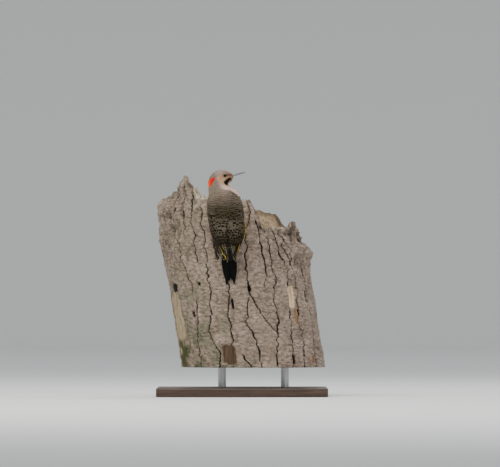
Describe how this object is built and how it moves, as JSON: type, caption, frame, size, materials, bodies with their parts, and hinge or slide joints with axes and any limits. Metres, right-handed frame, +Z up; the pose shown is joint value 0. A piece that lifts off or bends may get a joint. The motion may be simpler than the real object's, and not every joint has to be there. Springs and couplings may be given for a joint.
{
  "type": "woodpecker",
  "caption": "Still life-size yellow-shafted flicker clinging to the broken top of a dead trunk, back outwards and head turned aside, on a flat stand with short rods.",
  "frame": {"origin": "middle of the underside of the stand's base", "axes": "+Z up; -Y is the side of the trunk on which the bird clings, with its back towards -Y; +X is the bird's right, the way its bill points"},
  "size_m": [0.38, 0.4305, 0.5003],
  "materials": {
    "feathers_head": "short soft feathers, tan and grey with a red nape",
    "feathers_neck": "soft feathers, grey brown",
    "feathers_body": "feathers, brown barred black above, buff spotted black below",
    "feathers_wing": "firm feathers, brown barred black, yellow shafts",
    "feathers_tail": "stiff black feathers",
    "feathers_leg": "soft pale feathers",
    "foot_scales": "scaly grey skin",
    "bill_horn": "satin slate horn",
    "eye": "wet dark brown",
    "bark": "weathered cracked bark and splintered wood",
    "base_wood": "dark stained board, satin",
    "rod_steel": "brushed"
  },
  "bodies": {
    "root": {"head": "feathers_head", "neck": "feathers_neck", "torso": "feathers_body", "wing_left": "feathers_wing", "wing_right": "feathers_wing", "tail": "feathers_tail", "leg_left": "feathers_leg", "leg_right": "feathers_leg", "foot_left": "foot_scales", "foot_right": "foot_scales", "bill_upper": "bill_horn", "bill_lower": "bill_horn", "eye_left": "eye", "eye_right": "eye", "perch_log": "bark", "stand_base": "base_wood", "stand_rod_left": "rod_steel", "stand_rod_right": "rod_steel"}
  },
  "joints": []
}
